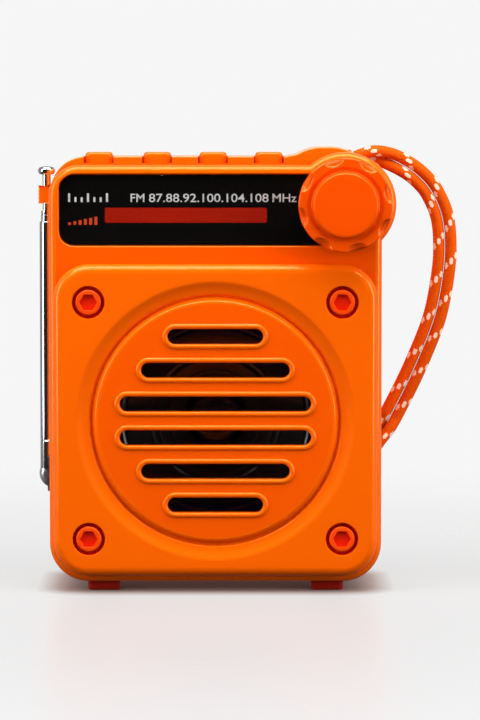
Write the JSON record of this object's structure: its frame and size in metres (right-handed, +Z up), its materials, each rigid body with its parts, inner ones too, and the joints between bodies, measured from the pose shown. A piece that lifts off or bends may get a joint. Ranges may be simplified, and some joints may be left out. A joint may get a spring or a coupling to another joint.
{
  "type": "emergency radio",
  "caption": "Rugged portable radio with a slotted speaker grille, tuning display and knob, top keys, telescopic antenna and cord lanyard.",
  "frame": {"origin": "under the middle of the radio without its cord, on the surface that its feet stand on", "axes": "+Z up, -Y out of the front, +X to the right as seen from the front"},
  "size_m": [0.1427, 0.066, 0.1487],
  "materials": {
    "case_orange": "gloss orange moulding",
    "screw_orange": "orange coated steel",
    "lens": "clear smoked acrylic",
    "black_plastic": "black",
    "red_light_guide": "dark red translucent",
    "seal_rubber": "black rubber",
    "foot_rubber": "dark red rubber",
    "chrome": "polished",
    "steel": "zinc plated",
    "circuit_board": "solder mask",
    "cone_paper": "coated paper",
    "battery_wrap": "shrink wrap",
    "cord": "braided orange cord with pale flecks"
  },
  "bodies": {
    "case": {"front_case": "case_orange", "rear_case": "case_orange", "speaker_grille": "case_orange", "antenna_clip": "case_orange", "battery_cover": "case_orange", "grille_screw_1": "screw_orange", "grille_screw_2": "screw_orange", "grille_screw_3": "screw_orange", "grille_screw_4": "screw_orange", "display_lens": "lens", "dial_plate": "black_plastic", "battery_socket": "black_plastic", "key_switch_1": "black_plastic", "key_switch_2": "black_plastic", "key_switch_3": "black_plastic", "key_switch_4": "black_plastic", "speaker_frame": "black_plastic", "ferrite_rod": "black_plastic", "scale_light_bar": "red_light_guide", "case_seal": "seal_rubber", "strap_ferrule_top": "seal_rubber", "strap_ferrule_side": "seal_rubber", "foot_front_left": "foot_rubber", "foot_front_right": "foot_rubber", "foot_rear_left": "foot_rubber", "foot_rear_right": "foot_rubber", "antenna_fork": "steel", "antenna_pin": "steel", "case_screw_1": "steel", "case_screw_2": "steel", "case_screw_3": "steel", "case_screw_4": "steel", "cover_screw_1": "steel", "cover_screw_2": "steel", "encoder_nut": "steel", "tuning_encoder": "steel", "speaker_magnet": "steel", "tuner_shield": "steel", "main_board": "circuit_board", "key_board": "circuit_board", "scale_lamp_board": "circuit_board", "speaker_cone": "cone_paper", "battery_pack": "battery_wrap", "strap_strand_1": "cord", "strap_strand_2": "cord"},
    "knob": {"tuning_knob": "case_orange", "tuning_shaft": "steel"},
    "antenna_base": {"antenna_tube": "chrome"},
    "antenna_section": {"antenna_middle": "chrome"},
    "antenna_rod": {"antenna_rod": "chrome", "antenna_tip": "chrome"},
    "key_1": {"key_1": "case_orange"},
    "key_2": {"key_2": "case_orange"},
    "key_3": {"key_3": "case_orange"},
    "key_4": {"key_4": "case_orange"}
  },
  "joints": [
    {"name": "knob_turn", "type": "hinge", "parent": "case", "child": "knob", "pos_m": [0.043, -0.0259, 0.1294], "axis": [0, -1, 0], "continuous": true},
    {"name": "antenna_fold", "type": "hinge", "parent": "case", "child": "antenna_base", "pos_m": [-0.0554, 0.012, 0.0367], "axis": [0, -1, 0], "range_deg": [0, 90]},
    {"name": "antenna_extend_1", "type": "slide", "parent": "antenna_base", "child": "antenna_section", "axis": [0, 0, 1], "range_m": [0, 0.06]},
    {"name": "antenna_extend_2", "type": "slide", "parent": "antenna_section", "child": "antenna_rod", "axis": [0, 0, 1], "range_m": [0, 0.065]},
    {"name": "key_1_press", "type": "slide", "parent": "case", "child": "key_1", "axis": [0, 0, -1], "range_m": [0, 0.001], "stiffness_N_per_m": 600, "springref_m": -0.0005},
    {"name": "key_2_press", "type": "slide", "parent": "case", "child": "key_2", "axis": [0, 0, -1], "range_m": [0, 0.001], "stiffness_N_per_m": 600, "springref_m": -0.0005},
    {"name": "key_3_press", "type": "slide", "parent": "case", "child": "key_3", "axis": [0, 0, -1], "range_m": [0, 0.001], "stiffness_N_per_m": 600, "springref_m": -0.0005},
    {"name": "key_4_press", "type": "slide", "parent": "case", "child": "key_4", "axis": [0, 0, -1], "range_m": [0, 0.001], "stiffness_N_per_m": 600, "springref_m": -0.0005}
  ]
}
